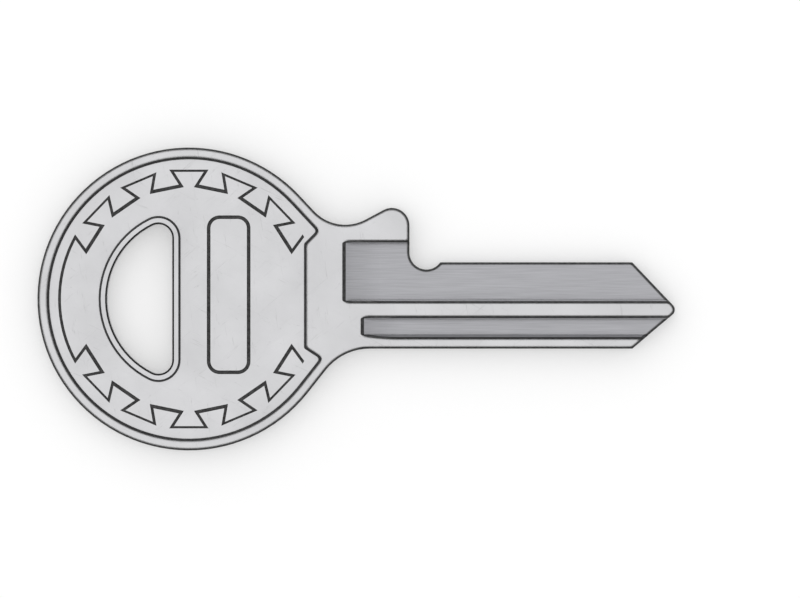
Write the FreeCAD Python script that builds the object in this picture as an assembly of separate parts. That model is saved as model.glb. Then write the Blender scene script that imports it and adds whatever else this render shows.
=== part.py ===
import FreeCAD, Part
import math
import os

# Key blank for a cylinder lock, stamped and milled from one strip of nickel-plated brass.
# Lengths are in millimetres and angles in degrees.
# X runs from the stop face to the tip, Y from the spine to the edge that a locksmith cuts, and Z from
# the back face to the front. The origin lies where the stop face, the spine and the back face meet.

# Strip
strip_thickness = 2.5
edge_radius = 0.18

# Bow
bow_diameter = 25.0
bow_to_stop = 5.7
bow_centre_height = 4.1

# Necks between bow and shoulder
upper_neck_angle = 47.0
upper_neck_radius = 3.5
lower_neck_angle = 51.7
lower_neck_radius = 4.6

# Shoulder, stop face and the relief below it
shoulder_over_blade = 4.49
shoulder_angle = 28.0
shoulder_radius = 1.45
stop_relief_radius = 1.4
stop_relief_depth = 0.6

# Blade outline
blade_length = 21.9
blade_height = 7.13
tip_upper_angle = 46.5
tip_lower_angle = 40.2
nose_radius = 0.55

# Blade section: foot, lower grooves, rib, and the open upper groove
front_groove_depth = 0.85
back_groove_depth = 0.65
foot_height = 0.9
foot_slope_rise = 0.25
lower_groove_top = 2.55
rib_width = 1.36
upper_groove_over_blade = 1.66
groove_corner_radius = 0.1
milled_edge_break = 0.07

# Where the milled grooves run out on the shank
cutter_radius = 6.0
upper_groove_runout = 5.54
lower_groove_runout = 4.03

# Coined field of the bow, sunk between the rim, the collar and the shank
rim_width = 0.84
field_depth = 0.28
coin_draft_angle = 30.0
coined_edge_break = 0.05
field_corner_radius = 0.25
step_to_stop = 8.57
step_upper_height = 8.62
step_upper_angle = 45.0
step_lower_height = 0.1
step_lower_angle = 33.0

# Ring hole, with its raised collar
ring_hole_wall = 5.73
ring_hole_flat_offset = 1.37
ring_hole_corner_radius = 1.15
ring_hole_edge_break = 0.15
collar_width = 0.55

# Engraved dovetail border
engraving_depth = 0.13
border_line_width = 0.24
border_to_rim = 0.98
slot_depth = 1.32
slots_per_side = 6
slot_mouth_share = 1 / 3
slot_floor_share = 2 / 3
border_lead_angle = 5.7
plain_arc_angle = 57.2

# Bare panel beside the ring hole
panel_line_width = 0.3
panel_to_collar = 2.45
panel_width = 3.3
panel_end_gap = 2.96
panel_rise = 0.35
panel_corner_radius = 0.9

# How far a cutting body stands out of the metal that it cuts
overrun = 0.3

# How much of a straight run the roundings at its ends may take up
rounding_share = 0.95

# How far off a face an edge may lie and still belong to it
face_tolerance = 1e-6

# Values that follow from those above
bow_radius = bow_diameter / 2
bow_centre_x = -(bow_to_stop + bow_radius)
shoulder_height = blade_height + shoulder_over_blade
foot_wall_top = foot_height + foot_slope_rise
rib_top = lower_groove_top + rib_width
upper_groove_top = blade_height + upper_groove_over_blade
field_radius = bow_radius - rim_width
ring_hole_radius = bow_radius - ring_hole_wall
border_radius = field_radius - border_to_rim
slot_floor_radius = border_radius - slot_depth


def point(x, y, z=0.0):
    return FreeCAD.Vector(x, y, z)


def direction(angle):
    """Unit vector in the XY plane."""
    return point(math.cos(math.radians(angle)), math.sin(math.radians(angle)))


def about_bow(radius, angle):
    """Point at a radius and an angle from the bow's centre."""
    return point(bow_centre_x, bow_centre_height) + direction(angle) * radius


def meeting_point(start, angle, other_start, other_angle):
    """Where two lines cross, each given by a point and its angle."""
    along = direction(angle)
    across = direction(other_angle + 90)
    return start + along * ((other_start - start).dot(across) / along.dot(across))


def rounded_edges(corners):
    """Edges through the corners, each a point with a radius, which the straight runs beside it limit."""
    edges = []
    here = corners[0][0]
    for number in range(1, len(corners) - 1):
        corner, radius = corners[number]
        following, following_radius = corners[number + 1]
        room_ahead = (following - corner).Length / (2 if following_radius > 0 else 1)
        room = rounding_share * min((corner - here).Length, room_ahead)
        arriving = (corner - corners[number - 1][0]).normalize()
        leaving = (following - corner).normalize()
        half_turn = arriving.getAngle(leaving) / 2
        set_back = min(radius * math.tan(half_turn), room)
        arc_start = corner - arriving * set_back
        edges.append(Part.LineSegment(here, arc_start).toShape())
        here = corner + leaving * set_back
        if radius > 0:
            inward = (leaving - arriving).normalize()
            to_arc = set_back * (1 / math.sin(half_turn) - 1 / math.tan(half_turn))
            edges.append(Part.Arc(arc_start, corner + inward * to_arc, here).toShape())
    edges.append(Part.LineSegment(here, corners[-1][0]).toShape())
    return edges


def bow_arc(radius):
    """The long way round the bow, from the lower neck line to the upper one."""
    start = about_bow(radius, lower_neck_angle - 90)
    middle = about_bow(radius, 180)
    end = about_bow(radius, 90 - upper_neck_angle)
    return Part.Arc(start, middle, end).toShape()


def straight_edges(corners):
    """Straight edges from each corner to the next."""
    return [Part.LineSegment(here, there).toShape() for here, there in zip(corners, corners[1:])]


def first_crossing(start, along, radius):
    """Where a line from a start meets the circle of a radius round the bow's centre."""
    from_centre = start - about_bow(0, 0)
    nearest = from_centre.dot(along)
    half_chord = math.sqrt(radius**2 - from_centre.dot(from_centre) + nearest**2)
    return start - along * (nearest + half_chord)


def edges_on_faces(solid):
    """The edges that lie in the front or the back face of the strip."""
    flat = []
    for edge in solid.Edges:
        box = edge.BoundBox
        for height in (0, strip_thickness):
            if max(abs(box.ZMin - height), abs(box.ZMax - height)) < face_tolerance:
                flat.append(edge)
    return flat


def mirrored(front_cut):
    """The same cut in the back face."""
    return front_cut.mirror(point(0, 0, strip_thickness / 2), point(0, 0, 1))


def key_outline():
    """Closed outline of the blank, clockwise from the bow's upper neck line."""
    upper_start = about_bow(bow_radius, 90 - upper_neck_angle)
    lower_end = about_bow(bow_radius, lower_neck_angle - 90)

    # The shoulder's arc touches the stop face, its top and the line that rises to it.
    rise = math.radians(shoulder_angle)
    above_top = shoulder_radius * (math.tan(rise) + 1 / math.cos(rise) - 1)
    shoulder_corner = point(0, shoulder_height + above_top)
    neck_corner = meeting_point(upper_start, -upper_neck_angle, shoulder_corner, shoulder_angle)

    # The relief's arc is tangent to the stop face and breaks out at the blade's top edge.
    relief_bottom = blade_height - stop_relief_depth
    relief_centre = point(stop_relief_radius, relief_bottom + stop_relief_radius)
    half_opening = math.acos((relief_centre.y - blade_height) / stop_relief_radius)
    relief_start = point(0, relief_centre.y)
    relief_end = relief_centre + direction(math.degrees(half_opening) - 90) * stop_relief_radius
    relief_arc = Part.Arc(relief_start, point(relief_centre.x, relief_bottom), relief_end).toShape()

    # Both bevels of the tip start at one place along the blade.
    upper_slope = math.tan(math.radians(tip_upper_angle))
    lower_slope = math.tan(math.radians(tip_lower_angle))
    bevel_run = blade_height / (upper_slope + lower_slope)
    half_point = math.radians(tip_upper_angle + tip_lower_angle) / 2
    tilt = math.radians(tip_upper_angle - tip_lower_angle) / 2
    nose_set_back = nose_radius * (math.cos(tilt) / math.sin(half_point) - 1)
    tip_start = blade_length + nose_set_back - bevel_run
    tip_corner = point(tip_start + bevel_run, bevel_run * lower_slope)

    spine_corner = meeting_point(lower_end, lower_neck_angle, point(0, 0), 0)
    above = rounded_edges(
        [
            (upper_start, 0),
            (neck_corner, upper_neck_radius),
            (shoulder_corner, shoulder_radius),
            (relief_start, 0),
        ]
    )
    below = rounded_edges(
        [
            (relief_end, 0),
            (point(tip_start, blade_height), 0),
            (tip_corner, nose_radius),
            (point(tip_start, 0), 0),
            (spine_corner, lower_neck_radius),
            (lower_end, 0),
        ]
    )
    return Part.Wire(above + [relief_arc] + below + [bow_arc(bow_radius)])


def ring_hole_outline(growth, height):
    """D-shaped outline of the ring hole, grown evenly, at a height."""
    radius = ring_hole_radius + growth
    flat = -ring_hole_flat_offset + growth
    corner_radius = ring_hole_corner_radius + growth
    centre = point(bow_centre_x, bow_centre_height, height)
    corner_x = flat - corner_radius
    corner_y = math.sqrt((radius - corner_radius) ** 2 - corner_x**2)
    edges = []
    for side in (1, -1):
        corner = point(corner_x, side * corner_y)
        outward = math.degrees(math.atan2(corner.y, corner.x))
        on_flat = centre + point(flat, corner.y)
        on_arc = centre + direction(outward) * radius
        between = centre + corner + direction(outward / 2) * corner_radius
        edges.append((on_flat, Part.Arc(on_flat, between, on_arc).toShape(), on_arc))
    upper, lower = edges
    straight = Part.LineSegment(lower[0], upper[0]).toShape()
    round_side = Part.Arc(upper[2], centre + point(-radius, 0), lower[2]).toShape()
    return Part.Wire([straight, upper[1], round_side, lower[1]])


def field_outline(inset, height):
    """Outline of the bow's sunk field, drawn in evenly from the rim and the shank, at a height."""
    radius = field_radius - inset
    rim_upper = about_bow(radius, 90 - upper_neck_angle)
    rim_lower = about_bow(radius, lower_neck_angle - 90)
    step = point(-step_to_stop - inset, 0)
    upper_slant = point(-step_to_stop, step_upper_height) + direction(step_upper_angle + 90) * inset
    lower_slant = point(-step_to_stop, step_lower_height) + direction(-step_lower_angle - 90) * inset
    edges = rounded_edges(
        [
            (rim_upper, 0),
            (
                meeting_point(rim_upper, -upper_neck_angle, upper_slant, step_upper_angle),
                field_corner_radius,
            ),
            (meeting_point(upper_slant, step_upper_angle, step, 90), field_corner_radius),
            (meeting_point(lower_slant, -step_lower_angle, step, 90), field_corner_radius),
            (
                meeting_point(rim_lower, lower_neck_angle, lower_slant, -step_lower_angle),
                field_corner_radius,
            ),
            (rim_lower, 0),
        ]
    )
    outline = Part.Wire(edges + [bow_arc(radius)])
    outline.translate(point(0, 0, height))
    return outline


def coined_wall(outline, below_floor):
    """A body with drafted sides and a broken upper edge, from an outline at an inset and a height."""
    draft = math.tan(math.radians(coin_draft_angle))
    wall_height = field_depth + below_floor - coined_edge_break
    sections = [
        outline(wall_height * draft, strip_thickness - field_depth - below_floor),
        outline(0, strip_thickness - coined_edge_break),
        outline(-coined_edge_break - overrun, strip_thickness + overrun),
    ]
    return Part.makeLoft(sections, True, True)


def collar_outline(growth, height):
    """Outer edge of the raised collar round the ring hole."""
    return ring_hole_outline(collar_width + growth, height)


def coined_field():
    """What the coining die sinks in the front of the bow, within the rim and round the collar."""
    return coined_wall(field_outline, 0).cut(coined_wall(collar_outline, overrun))


def milled_groove(low_at_face, low_at_floor, high, depth, runout):
    """A groove in the front face that a disc cutter leaves, open at the tip."""
    face = strip_thickness
    floor = face - depth
    full_depth_x = -runout + math.sqrt(2 * cutter_radius * depth - depth**2)
    flare = milled_edge_break + overrun
    section = rounded_edges(
        [
            (point(full_depth_x, low_at_face - flare, face + overrun), 0),
            (point(full_depth_x, low_at_face, face - milled_edge_break), 0),
            (point(full_depth_x, low_at_floor, floor), groove_corner_radius),
            (point(full_depth_x, high, floor), groove_corner_radius),
            (point(full_depth_x, high, face - milled_edge_break), 0),
            (point(full_depth_x, high + flare, face + overrun), 0),
            (point(full_depth_x, low_at_face - flare, face + overrun), 0),
        ]
    )
    profile = Part.Face(Part.Wire(section))
    straight = profile.extrude(point(blade_length + overrun - full_depth_x, 0, 0))
    cutter_axis = point(full_depth_x, 0, floor + cutter_radius)
    clear_of_face = math.degrees(math.acos(1 - (depth + overrun) / cutter_radius))
    run_out = profile.revolve(cutter_axis, point(0, 1, 0), clear_of_face)
    return straight.fuse(run_out)


def slot_angles():
    """The middle angle of each slot above the middle line, half its mouth and half its floor."""
    to_step = bow_to_stop + bow_radius - step_to_stop
    first_mouth = math.degrees(math.acos(to_step / field_radius)) - border_lead_angle
    last_mouth_end = 180 - plain_arc_angle / 2
    pitch = (last_mouth_end - first_mouth) / (slots_per_side - 1 + slot_mouth_share)
    half_mouth = pitch * slot_mouth_share / 2
    middles = [first_mouth + half_mouth + number * pitch for number in range(slots_per_side)]
    return middles, half_mouth, pitch * slot_floor_share / 2


def border_side(growth):
    """The border moved outwards by a growth: corners above the middle line and below it, and its arc."""
    middles, half_mouth, half_floor = slot_angles()
    tops = border_radius + growth
    floors = slot_floor_radius + growth
    line_end = border_radius + border_line_width / 2
    upper = []
    for middle in middles:
        for side in (-1, 1):
            mouth = about_bow(border_radius, middle + side * half_mouth)
            floor = about_bow(slot_floor_radius, middle + side * half_floor)
            flank = (floor - mouth).normalize()
            start = mouth + point(-side * flank.y, side * flank.x) * growth
            top = tops if upper else line_end
            corners = [first_crossing(start, flank, top), first_crossing(start, flank, floors)]
            upper += corners[::-side]
    lower = [point(corner.x, 2 * bow_centre_height - corner.y) for corner in reversed(upper)]
    plain_arc = Part.Arc(upper[-1], about_bow(tops, 180), lower[0]).toShape()
    return upper, lower, plain_arc


def border_line():
    """The line of the border as a flat band of even width, open towards the step."""
    half_width = border_line_width / 2
    outer_upper, outer_lower, outer_arc = border_side(half_width)
    inner_upper, inner_lower, inner_arc = border_side(-half_width)
    edges = straight_edges(outer_upper) + [outer_arc]
    edges += straight_edges(outer_lower + inner_lower[::-1]) + [inner_arc]
    edges += straight_edges(inner_upper[::-1] + outer_upper[:1])
    return Part.Face(Part.Wire(edges))


def panel_outline():
    """Closed middle line of the frame round the bare panel beside the ring hole."""
    left = collar_width - ring_hole_flat_offset + panel_to_collar
    right = left + panel_width
    half_height = slot_floor_radius - panel_end_gap
    centre = point(bow_centre_x, bow_centre_height + panel_rise)
    start = (centre + point(left, 0), 0)
    corners = [(left, half_height), (right, half_height), (right, -half_height), (left, -half_height)]
    rounded = [(centre + point(x, y), panel_corner_radius) for x, y in corners]
    return Part.Wire(rounded_edges([start] + rounded + [start]))


def panel_frame():
    """The line round the panel as a flat band of even width."""
    outside = Part.Face(panel_outline().makeOffset2D(panel_line_width / 2))
    inside = Part.Face(panel_outline().makeOffset2D(-panel_line_width / 2))
    return outside.cut(inside).Faces[0]


def engraving(band):
    """What a flat band takes out of the front field when it is engraved there."""
    band.translate(point(0, 0, strip_thickness - field_depth - engraving_depth))
    return band.extrude(point(0, 0, engraving_depth + overrun))


def stamped_blank():
    """The strip stamped to the outline and tumbled until its edges are round, with the ring hole."""
    blank = Part.Face(key_outline()).extrude(point(0, 0, strip_thickness))
    blank = blank.makeFillet(edge_radius, edges_on_faces(blank))
    hole = Part.Face(ring_hole_outline(0, 0)).extrude(point(0, 0, strip_thickness))
    broken_edge = Part.makeLoft(
        [
            ring_hole_outline(0, strip_thickness - ring_hole_edge_break),
            ring_hole_outline(ring_hole_edge_break + overrun, strip_thickness + overrun),
        ],
        True,
        True,
    )
    return blank.cut([hole, broken_edge, mirrored(broken_edge)])


def coined_bow(blank):
    """Both sides of the bow, alike but for the panel in front."""
    field = coined_field()
    blank = blank.cut([field, mirrored(field)])
    border = engraving(border_line())
    return blank.cut([border, mirrored(border), engraving(panel_frame())])


def milled_blade(blank):
    """The open upper groove in front, and the lower groove in both sides above the foot."""
    upper = milled_groove(
        rib_top, rib_top, upper_groove_top, front_groove_depth, upper_groove_runout
    )
    lower = milled_groove(
        foot_height, foot_wall_top, lower_groove_top, front_groove_depth, lower_groove_runout
    )
    back = milled_groove(
        foot_height, foot_wall_top, lower_groove_top, back_groove_depth, lower_groove_runout
    )
    return blank.cut([upper, lower, mirrored(back)])


key_blank = milled_blade(coined_bow(stamped_blank()))
os.makedirs("parts", exist_ok=True)
key_blank.Solids[0].exportStep("parts/key_blank.step")
print("key_blank", len(key_blank.Solids), "solid,", round(key_blank.Volume, 1), "cubic mm")
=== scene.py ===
import math

import bpy
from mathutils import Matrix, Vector


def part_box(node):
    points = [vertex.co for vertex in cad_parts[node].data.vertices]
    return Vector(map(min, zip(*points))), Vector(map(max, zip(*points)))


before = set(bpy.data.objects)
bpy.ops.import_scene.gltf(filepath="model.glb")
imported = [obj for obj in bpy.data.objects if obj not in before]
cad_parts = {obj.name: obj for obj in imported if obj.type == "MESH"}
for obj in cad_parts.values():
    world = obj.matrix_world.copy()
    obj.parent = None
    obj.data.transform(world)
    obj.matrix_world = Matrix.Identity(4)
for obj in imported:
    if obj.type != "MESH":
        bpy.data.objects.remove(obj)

# A nickel-plated key blank on a white table, seen straight from above.
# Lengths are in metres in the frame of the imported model: +Z is up and the back face is down.
mm = 0.001

# Shape that the finishes and the painted shade follow, with depths below the nearer of the key's two
# faces
bow_centre = (-18.2 * mm, 4.1 * mm, 0.0)
outer_bow_radius = 8.5 * mm
bow_end_x = -7.0 * mm
field_depth = 0.28 * mm
engraving_depth = 0.13 * mm
milled_edge_break = 0.07 * mm
edge_line_depth = 0.14 * mm
blur = 0.03 * mm

# Upright part of a surface's normal, where a finish or the painted shade begins and where it is full
flat_slopes = (0.5, 0.75)
side_wall_slopes = (0.4, 0.1)
steep_slopes = (0.82, 0.70)
rounded_slopes = (0.995, 0.97)

# Share of free rays from a point, where the painted shade begins and where it is full
crevice_shares = (0.80, 0.45)
crevice_reach = 0.5 * mm
crevice_samples = 8
edge_shares = (0.95, 0.83)
edge_reach = 0.3 * mm
edge_samples = 16

# Size of each pattern's cells along the key, across it and upwards
cloud_cell = (4 * mm, 4 * mm, 4 * mm)
haze_cell = (0.5 * mm, 0.5 * mm, 0.5 * mm)
pebble_cell = (0.25 * mm, 0.25 * mm, 0.25 * mm)
milling_cell = (3 * mm, 0.06 * mm, 1 * mm)
shear_cell = (0.09 * mm, 0.09 * mm, 2 * mm)
tear_cell = (0.5 * mm, 0.5 * mm, 0.5 * mm)
grain_cell = (0.15 * mm, 0.15 * mm, 0.15 * mm)
noise_range = (0.3, 0.7)
smooth_detail = 0.0
line_detail = 1.0
plain_detail = 2.0
rich_detail = 3.0

# Torn zone of the side walls: the height where it begins, where it is full, and how far that strays
torn_zone = (1.15 * mm, 1.00 * mm)
tear_stray = 0.5 * mm

# Tumbling scratches: the turn and the shift of each set of lines
scratch_sets = ((25, 0.0), (80, 5 * mm), (140, 9 * mm))
scratch_line_cell = (5 * mm, 0.22 * mm, 5 * mm)
scratch_stretch_cell = (2.5 * mm, 0.5 * mm, 2.5 * mm)
scratch_stretches = (0.58, 0.68)
scratch_half_width = 0.012
noise_middle = 0.5
scratch_darkness = 0.4
scratch_relief = 0.8

# Brightness of each finish and of the painted shade from its darkest to its lightest spot, and how
# blue it is
face_tones = (0.56, 0.62)
scratch_tone = 0.35
milled_tones = (0.36, 0.44)
sheared_tones = (0.38, 0.50)
torn_tones = (0.26, 0.44)
painted_shade_tones = (0.035, 0.075)
plate_blue = 1.02
milled_blue = 1.05

# Gloss and relief
face_roughness = (0.28, 0.36)
worked_roughness = 0.42
# Roughness of the painted shade in engraved floors and crevices
painted_shade_roughness = 0.5
relief_strength = 0.15
relief_height = 0.01 * mm

# Table
table_size = 4.0
table_tone = 0.7
table_roughness = 0.9
table_own_white = 0.33

# Room, from the horizon up to the height where it is brightest
room_tones = (0.5, 0.95)
room_heights = (0.0, 0.7)
light_energy = 0.4
light_spread = math.radians(90)
light_direction = (-0.6, 0.6, 1.0)

# Camera
sensor_width_mm = 36.0
view_width = 66.0 * mm
view_centre = (-0.78 * mm, 4.10 * mm)
camera_height = 1.0

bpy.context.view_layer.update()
low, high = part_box("key_blank")
thickness = high.z - low.z
mid_height = (low.z + high.z) / 2


class Graph:
    """Short calls that add nodes to one node tree and join them."""

    def __init__(self, tree):
        self.tree = tree
        tree.nodes.clear()

    def add(self, kind, inputs, **options):
        """A node whose inputs are numbers or other nodes' sockets."""
        node = self.tree.nodes.new(kind)
        for name, value in options.items():
            setattr(node, name, value)
        for name, value in inputs.items():
            if isinstance(value, bpy.types.NodeSocket):
                self.tree.links.new(value, node.inputs[name])
            else:
                node.inputs[name].default_value = value
        return node

    def math(self, operation, first, second=0.0):
        return self.add("ShaderNodeMath", {0: first, 1: second}, operation=operation).outputs[0]

    def times(self, first, *others):
        product = first
        for other in others:
            product = self.math("MULTIPLY", product, other)
        return product

    def vector(self, operation, first, second, output="Vector"):
        node = self.add("ShaderNodeVectorMath", {0: first, 1: second}, operation=operation)
        return node.outputs[output]

    def rise(self, value, start, end):
        """0 up to the start, 1 from the end, smooth between them. The end may be the lower one."""
        inputs = {"Value": value, "From Min": start, "From Max": end}
        options = {"interpolation_type": "SMOOTHSTEP"}
        return self.add("ShaderNodeMapRange", inputs, **options).outputs[0]

    def fall(self, value, start):
        """1 up to the start, and soon 0."""
        return self.rise(value, start + blur, start)

    def spread(self, noise, outputs=(0.0, 1.0)):
        """The noise's own range, spread over two outputs."""
        inputs = {
            "Value": noise,
            "From Min": noise_range[0],
            "From Max": noise_range[1],
            "To Min": outputs[0],
            "To Max": outputs[1],
        }
        return self.add("ShaderNodeMapRange", inputs).outputs[0]

    # The mix node's sockets go by number, because its numbers and colours share their names
    def mix(self, factor, first, second):
        """From the first colour at 0 to the second at 1."""
        inputs = {0: factor, 6: first, 7: second}
        return self.add("ShaderNodeMix", inputs, data_type="RGBA").outputs[2]

    def blend(self, factor, first, second):
        """From the first number at 0 to the second at 1."""
        inputs = {0: factor, 2: first, 3: second}
        return self.add("ShaderNodeMix", inputs, data_type="FLOAT").outputs[0]

    def tones(self, noise, tones, blue=1.0):
        """A grey that follows the noise from the first tone to the second."""
        return self.mix(self.spread(noise), grey(tones[0], blue), grey(tones[1], blue))

    def noise(self, place, cell, detail=plain_detail):
        """Noise whose cells have a size along each axis."""
        inputs = {"Vector": self.vector("DIVIDE", place, cell), "Scale": 1.0, "Detail": detail}
        return self.add("ShaderNodeTexNoise", inputs).outputs[0]

    def free_rays(self, reach, samples, inside):
        """Share of the rays from a point that meet nothing in reach, in the air or in the metal."""
        options = {"samples": samples, "only_local": True, "inside": inside}
        return self.add("ShaderNodeAmbientOcclusion", {"Distance": reach}, **options).outputs["AO"]


def grey(level, blue=1.0):
    """An even grey, a little bluer where blue is over 1."""
    return (level, level, level * blue, 1.0)


def scratches(graph, place):
    """Faint short scratches in three directions: 1 on a scratch and 0 beside it."""
    marks = 0.0
    for turn, shift in scratch_sets:
        turning = {"Vector": place, "Angle": math.radians(turn)}
        turned = graph.add("ShaderNodeVectorRotate", turning, rotation_type="Z_AXIS").outputs[0]
        moved = graph.vector("ADD", turned, (shift, shift, 0.0))
        lines = graph.noise(moved, scratch_line_cell, line_detail)
        from_line = graph.math("ABSOLUTE", graph.math("SUBTRACT", lines, noise_middle))
        line = graph.rise(from_line, scratch_half_width, 0.0)
        stretches = graph.noise(moved, scratch_stretch_cell, smooth_detail)
        stretch = graph.rise(stretches, *scratch_stretches)
        marks = graph.math("MAXIMUM", marks, graph.times(line, stretch))
    return marks


def find_finishes(graph, place):
    """Where each finish and the painted shade lie on the key, from 0 to 1."""
    x, _, z = graph.add("ShaderNodeSeparateXYZ", {0: place}).outputs
    normal = graph.add("ShaderNodeNewGeometry", {}).outputs["Normal"]
    normal_z = graph.add("ShaderNodeSeparateXYZ", {0: normal}).outputs[2]
    flatness = graph.math("ABSOLUTE", normal_z)
    from_middle = graph.math("ABSOLUTE", graph.math("SUBTRACT", z, mid_height))
    depth = graph.math("SUBTRACT", thickness / 2, from_middle)

    # Parts of the key
    on_bow = graph.rise(x, bow_end_x, bow_end_x - blur)
    off_bow = graph.math("SUBTRACT", 1.0, on_bow)
    in_plane = graph.vector("MULTIPLY", place, (1.0, 1.0, 0.0))
    from_centre = graph.vector("DISTANCE", in_plane, bow_centre, output="Value")
    outer_bow = graph.rise(from_centre, outer_bow_radius, outer_bow_radius + blur)
    near_face = graph.fall(depth, milled_edge_break)
    lined = graph.math("MAXIMUM", off_bow, graph.times(outer_bow, near_face))

    # Metal that was cut, and metal that was sheared when the blank was stamped
    flat = graph.rise(flatness, *flat_slopes)
    below_break = graph.rise(depth, milled_edge_break, milled_edge_break + blur)
    milled = graph.times(below_break, flat, off_bow)
    side_wall = graph.rise(flatness, *side_wall_slopes)
    stray = graph.times(graph.noise(place, tear_cell), tear_stray)
    torn = graph.rise(graph.math("ADD", z, stray), *torn_zone)

    # Places painted dark as shade: steep walls, edge roundings, convex edges, engraved floors and
    # crevices
    above_field = graph.fall(depth, field_depth + blur)
    below_field = graph.rise(depth, field_depth + blur, field_depth + 2 * blur)
    above_engraved_floor = graph.fall(depth, field_depth + engraving_depth + blur)
    # Painted shade on the floor of the engraved line
    engraved = graph.times(below_field, above_engraved_floor, flat, on_bow)
    # Painted shade on the steep walls of the field's steps
    steep = graph.times(graph.rise(flatness, *steep_slopes), above_field)
    # Painted shade on the roundings along the outline's edges
    near_edge_line = graph.fall(depth, edge_line_depth)
    rounded = graph.times(graph.rise(flatness, *rounded_slopes), near_edge_line)
    # Painted shade in crevices, where few rays get out
    open_air = graph.free_rays(crevice_reach, crevice_samples, inside=False)
    crevice = graph.rise(open_air, *crevice_shares)
    # Painted shade along convex edges, where the metal behind blocks rays
    metal_behind = graph.free_rays(edge_reach, edge_samples, inside=True)
    edge = graph.times(graph.rise(metal_behind, *edge_shares), lined)
    return {
        "milled": milled,
        "side_wall": side_wall,
        "torn": torn,
        "sunk": graph.math("MAXIMUM", engraved, crevice),
        # Masks where shade is painted into the colour
        "painted_shade": (steep, rounded, edge, engraved, crevice),
    }


def nickel_plate(material):
    """Satin nickel over stamped, coined and milled brass."""
    graph = Graph(material.node_tree)
    place = graph.add("ShaderNodeTexCoord", {}).outputs["Object"]
    finishes = find_finishes(graph, place)
    milled = finishes["milled"]
    side_wall = finishes["side_wall"]
    torn = finishes["torn"]

    # Patterns
    clouds = graph.noise(place, cloud_cell, rich_detail)
    haze = graph.noise(place, haze_cell)
    pebble = graph.noise(place, pebble_cell)
    milling = graph.noise(place, milling_cell, rich_detail)
    shearing = graph.noise(place, shear_cell)
    grains = graph.noise(place, grain_cell, rich_detail)
    scratched = scratches(graph, place)

    # Colour
    face = graph.tones(clouds, face_tones, plate_blue)
    face = graph.mix(graph.times(scratched, scratch_darkness), face, grey(scratch_tone))
    groove = graph.tones(milling, milled_tones, milled_blue)
    sheared = graph.tones(shearing, sheared_tones, plate_blue)
    sheared = graph.mix(torn, sheared, graph.tones(grains, torn_tones, plate_blue))
    # Painted shade: a near-black grey that stands in for shade on walls, edges, engraved floors and
    # crevices
    painted_shade_colour = graph.tones(pebble, painted_shade_tones)
    colour = graph.mix(milled, face, groove)
    colour = graph.mix(side_wall, colour, sheared)
    # Paint the shade over each of its masks in turn
    for painted_shade in finishes["painted_shade"]:
        colour = graph.mix(painted_shade, colour, painted_shade_colour)

    # Gloss and relief
    worked = graph.math("MAXIMUM", milled, side_wall)
    roughness = graph.blend(worked, graph.spread(haze, face_roughness), worked_roughness)
    roughness = graph.blend(finishes["sunk"], roughness, painted_shade_roughness)
    relief = graph.math("SUBTRACT", pebble, graph.times(scratched, scratch_relief))
    relief = graph.blend(milled, relief, milling)
    relief = graph.blend(side_wall, relief, graph.blend(torn, shearing, grains))
    bumps = {"Strength": relief_strength, "Distance": relief_height, "Height": relief}
    shader = graph.add(
        "ShaderNodeBsdfPrincipled",
        {
            "Base Color": colour,
            "Metallic": 1.0,
            "Roughness": roughness,
            "Normal": graph.add("ShaderNodeBump", bumps).outputs[0],
        },
    )
    graph.add("ShaderNodeOutputMaterial", {"Surface": shader.outputs[0]})


def table_paint(material):
    """Matt white with a share of its own white where the eye or a gloss meets it. It keeps shadows."""
    graph = Graph(material.node_tree)
    rays = graph.add("ShaderNodeLightPath", {}).outputs
    seen = graph.math("MAXIMUM", rays["Is Camera Ray"], rays["Is Glossy Ray"])
    seen = graph.math("MAXIMUM", seen, rays["Is Transmission Ray"])
    shader = graph.add(
        "ShaderNodeBsdfPrincipled",
        {
            "Base Color": grey(table_tone),
            "Roughness": table_roughness,
            "Specular IOR Level": 0.0,
            "Emission Color": grey(1.0),
            "Emission Strength": graph.times(seen, table_own_white),
        },
    )
    graph.add("ShaderNodeOutputMaterial", {"Surface": shader.outputs[0]})


def finish_key():
    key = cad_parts["key_blank"]
    material = bpy.data.materials.new("satin_nickel")
    material.use_nodes = True
    nickel_plate(material)
    key.data.materials.clear()
    key.data.materials.append(material)


def lay_table():
    bpy.ops.mesh.primitive_plane_add(size=table_size, location=(0, 0, low.z))
    table = bpy.context.object
    table.name = "table"
    material = bpy.data.materials.new("table_white")
    material.use_nodes = True
    table_paint(material)
    table.data.materials.append(material)


def light_room():
    """A pale room that is brighter overhead, with one broad soft light from the upper left."""
    world = bpy.data.worlds.new("room")
    bpy.context.scene.world = world
    world.use_nodes = True
    graph = Graph(world.node_tree)
    up = graph.add("ShaderNodeTexCoord", {}).outputs["Generated"]
    height = graph.add("ShaderNodeSeparateXYZ", {0: up}).outputs[2]
    overhead = graph.rise(height, *room_heights)
    tone = graph.mix(overhead, grey(room_tones[0]), grey(room_tones[1]))
    background = graph.add("ShaderNodeBackground", {"Color": tone, "Strength": 1.0})
    graph.add("ShaderNodeOutputWorld", {"Surface": background.outputs[0]})

    light = bpy.data.lights.new("soft_light", "SUN")
    light.energy = light_energy
    light.angle = light_spread
    holder = bpy.data.objects.new("soft_light", light)
    bpy.context.scene.collection.objects.link(holder)
    holder.rotation_euler = Vector(light_direction).to_track_quat("Z", "Y").to_euler()


def place_camera():
    camera = bpy.data.cameras.new("camera")
    camera.sensor_width = sensor_width_mm
    camera.lens = sensor_width_mm * camera_height / view_width
    holder = bpy.data.objects.new("camera", camera)
    holder.location = (*view_centre, camera_height + high.z)
    bpy.context.scene.collection.objects.link(holder)
    bpy.context.scene.camera = holder


finish_key()
lay_table()
light_room()
place_camera()
bpy.context.scene.view_settings.view_transform = "Standard"
